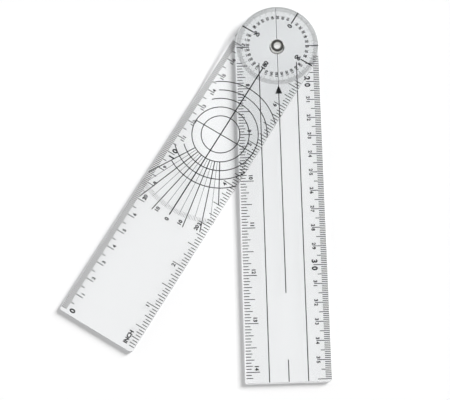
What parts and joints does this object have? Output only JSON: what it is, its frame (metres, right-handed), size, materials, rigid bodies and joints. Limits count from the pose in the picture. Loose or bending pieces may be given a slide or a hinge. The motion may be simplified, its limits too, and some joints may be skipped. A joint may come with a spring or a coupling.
{
  "type": "goniometer",
  "caption": "Clear plastic two-arm goniometer: a dial arm with protractor and rulers turns over a pointer arm on a hollow metal eyelet.",
  "frame": {"origin": "on the pivot axis, at the centre of the eyelet's hole, in the lower face of the pointer arm", "axes": "+Z is the pivot axis, up through the dial; the pointer arm runs along -Y from the pivot to its tip; +X is to the right of that arm seen from above"},
  "size_m": [0.1386, 0.2032, 0.0049],
  "materials": {
    "clear_plastic": "clear, polished",
    "plated_metal": "bright nickel plate",
    "nylon": "natural nylon, satin",
    "printing": "black ink printed on the strips"
  },
  "bodies": {
    "pointer_body": {"pointer_arm": "clear_plastic", "eyelet": "plated_metal", "spacer_washer": "nylon", "back_washer": "plated_metal"},
    "dial_body": {"dial_arm": "clear_plastic"}
  },
  "joints": [
    {"name": "pivot", "type": "hinge", "parent": "pointer_body", "child": "dial_body", "pos_m": [0, 0, 0], "axis": [0, 0, 1], "continuous": true}
  ]
}
